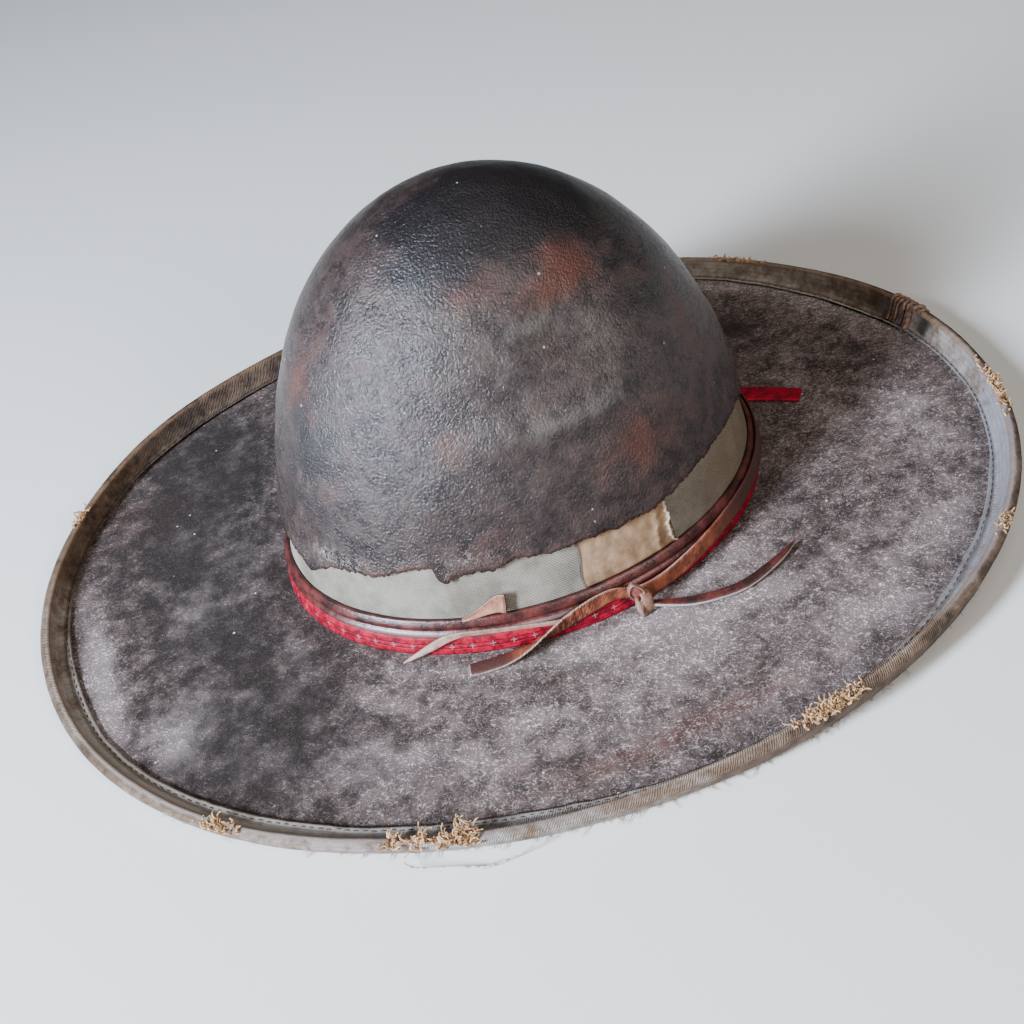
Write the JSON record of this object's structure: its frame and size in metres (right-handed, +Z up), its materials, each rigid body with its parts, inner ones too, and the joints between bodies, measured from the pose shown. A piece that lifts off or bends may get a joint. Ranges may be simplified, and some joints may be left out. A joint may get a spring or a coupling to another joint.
{
  "type": "wide-brimmed felt hat",
  "caption": "Worn felt hat with a tall domed crown, a broad brim turned up and bound at the rim, a cloth band and knotted leather laces.",
  "frame": {"origin": "on the surface the hat rests on, under the middle of the brim's outline", "axes": "+X along the oval's long axis towards the mended rim, +Z up through the crown; the knot is on the -Y side"},
  "size_m": [0.4246, 0.357, 0.1585],
  "materials": {
    "crown_felt": "dark brown-black felt, waxed and worn to a satin sheen, red-brown patches",
    "brim_felt": "grey-brown hairy felt, dusty and mottled, matte",
    "rim_ribbon": "ribbed grosgrain ribbon, faded and frayed",
    "mend_thread": "brown thread, matte",
    "band_cloth": "olive-grey twill ribbon, matte",
    "patch_suede": "tan suede, napped and scuffed",
    "dark_leather": "dark red-brown lace, polished by handling",
    "tan_leather": "orange-brown strap, creased, satin",
    "pale_leather": "pinkish undyed lace, dry",
    "red_leather": "crimson leather pressed with small squares, satin"
  },
  "bodies": {
    "root": {"brim": "brim_felt", "brim_binding": "rim_ribbon", "rim_mend": "mend_thread", "crown": "crown_felt", "cloth_band": "band_cloth", "band_patch": "patch_suede", "lace_strap": "dark_leather", "wide_strap": "tan_leather", "knot": "pale_leather", "knot_lace": "dark_leather", "pale_lace_tip": "pale_leather", "pale_lace_curl": "pale_leather", "red_band": "red_leather", "red_band_tail": "red_leather"}
  },
  "joints": []
}
